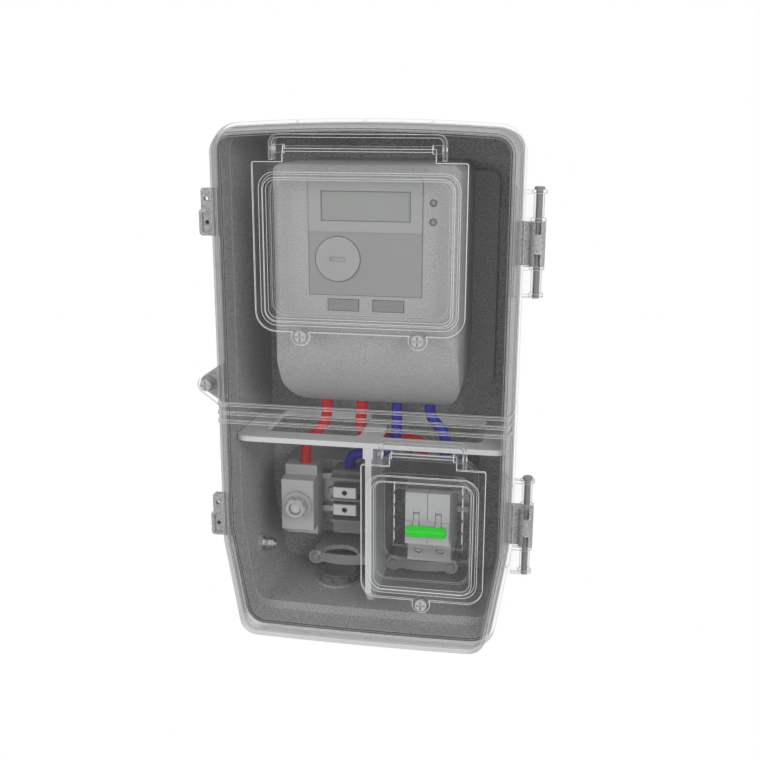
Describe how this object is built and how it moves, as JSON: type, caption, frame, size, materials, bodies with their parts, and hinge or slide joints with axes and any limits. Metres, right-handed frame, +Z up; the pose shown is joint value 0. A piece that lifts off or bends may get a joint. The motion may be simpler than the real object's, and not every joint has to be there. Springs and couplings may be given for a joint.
{
  "type": "electric meter box",
  "caption": "wall-mounted electric meter box with a clear hinged cover, two viewing flaps, an energy meter, a fuse carrier, neutral terminals, a breaker with a green lever and cable clamps",
  "frame": {"origin": "centre of the four wall screws, on the back face that lies on the wall", "axes": "+X to the right seen from the front, +Y into the wall, +Z up; the clear cover faces -Y"},
  "size_m": [0.2655, 0.145, 0.4151],
  "materials": {
    "box_plastic": "light grey moulded polycarbonate",
    "clear_plastic": "clear polycarbonate, polished",
    "gasket_rubber": "foam rubber strip",
    "pin_plastic": "mid grey nylon",
    "divider_plastic": "pale grey moulded plastic",
    "meter_plastic": "pale grey, fine texture",
    "label_plastic": "satin printed film without print",
    "display_glass": "grey-green display window",
    "port_plastic": "dark grey",
    "lamp_plastic": "small dark grey lens",
    "rail_steel": "zinc plated sheet",
    "screw_steel": "zinc plated",
    "seal_screw_plastic": "grey nylon",
    "breaker_plastic": "pale grey thermoset",
    "lever_plastic": "bright green",
    "fuse_plastic": "pale grey",
    "cartridge_ceramic": "glazed ceramic",
    "carrier_plastic": "dark grey",
    "terminal_metal": "nickel plated brass",
    "strap_plastic": "grey nylon",
    "conduit_plastic": "grey nylon",
    "lead_red": "red insulation",
    "lead_blue": "blue insulation"
  },
  "bodies": {
    "base": {"base_shell": "box_plastic", "rim_gasket": "gasket_rubber", "hinge_pin_upper": "pin_plastic", "hinge_pin_lower": "pin_plastic", "divider": "divider_plastic", "meter_case": "meter_plastic", "meter_terminal_cover": "meter_plastic", "meter_faceplate": "label_plastic", "meter_display": "display_glass", "meter_port": "port_plastic", "meter_lamps": "lamp_plastic", "meter_tabs": "label_plastic", "rail_left": "rail_steel", "rail_right": "rail_steel", "rail_screws": "screw_steel", "breaker_body": "breaker_plastic", "breaker_screws": "screw_steel", "fuse_base": "fuse_plastic", "neutral_carrier": "carrier_plastic", "neutral_bars": "terminal_metal", "neutral_screws": "screw_steel", "clamp_strap_left": "strap_plastic", "clamp_strap_right": "strap_plastic", "clamp_screws": "screw_steel", "conduit_bushing": "conduit_plastic", "conduit_nut": "conduit_plastic", "earth_stud": "screw_steel", "earth_nuts": "screw_steel", "lead_red_fuse": "lead_red", "lead_red_breaker": "lead_red", "lead_blue_neutral": "lead_blue", "lead_blue_breaker": "lead_blue"},
    "cover": {"cover_shell": "clear_plastic"},
    "meter_flap": {"meter_flap": "clear_plastic"},
    "breaker_flap": {"breaker_flap": "clear_plastic"},
    "meter_seal_screw_left": {"meter_seal_screw_left": "seal_screw_plastic"},
    "meter_seal_screw_right": {"meter_seal_screw_right": "seal_screw_plastic"},
    "breaker_seal_screw": {"breaker_seal_screw": "seal_screw_plastic"},
    "cover_seal_screw": {"cover_seal_screw": "seal_screw_plastic"},
    "breaker_lever": {"breaker_lever": "lever_plastic"},
    "fuse_cap": {"fuse_cap": "fuse_plastic", "fuse_cartridge": "cartridge_ceramic"}
  },
  "joints": [
    {"name": "cover_hinge", "type": "hinge", "parent": "base", "child": "cover", "pos_m": [0.1255, -0.105, 0], "axis": [0, 0, 1], "range_deg": [0, 120]},
    {"name": "meter_flap_hinge", "type": "hinge", "parent": "cover", "child": "meter_flap", "pos_m": [0, -0.14, 0.185], "axis": [-1, 0, 0], "range_deg": [0, 110]},
    {"name": "breaker_flap_hinge", "type": "hinge", "parent": "cover", "child": "breaker_flap", "pos_m": [0.0486, -0.14, -0.037], "axis": [-1, 0, 0], "range_deg": [0, 110]},
    {"name": "meter_seal_left_turn", "type": "hinge", "parent": "meter_flap", "child": "meter_seal_screw_left", "pos_m": [-0.0435, -0.1388, 0.05], "axis": [0, 1, 0], "range_deg": [0, 90]},
    {"name": "meter_seal_right_turn", "type": "hinge", "parent": "meter_flap", "child": "meter_seal_screw_right", "pos_m": [0.0435, -0.1388, 0.05], "axis": [0, 1, 0], "range_deg": [0, 90]},
    {"name": "breaker_seal_turn", "type": "hinge", "parent": "breaker_flap", "child": "breaker_seal_screw", "pos_m": [0.0486, -0.1388, -0.1577], "axis": [0, 1, 0], "range_deg": [0, 90]},
    {"name": "cover_seal_turn", "type": "hinge", "parent": "cover", "child": "cover_seal_screw", "pos_m": [-0.1275, -0.1126, 0.002], "axis": [0, 1, 0], "range_deg": [0, 90]},
    {"name": "breaker_lever_tilt", "type": "hinge", "parent": "base", "child": "breaker_lever", "pos_m": [0.04795, -0.096, -0.1025], "axis": [-1, 0, 0], "range_deg": [0, 60]},
    {"name": "fuse_cap_turn", "type": "hinge", "parent": "base", "child": "fuse_cap", "pos_m": [-0.0659, -0.072, -0.11], "axis": [0, 1, 0], "range_deg": [0, 90]}
  ]
}
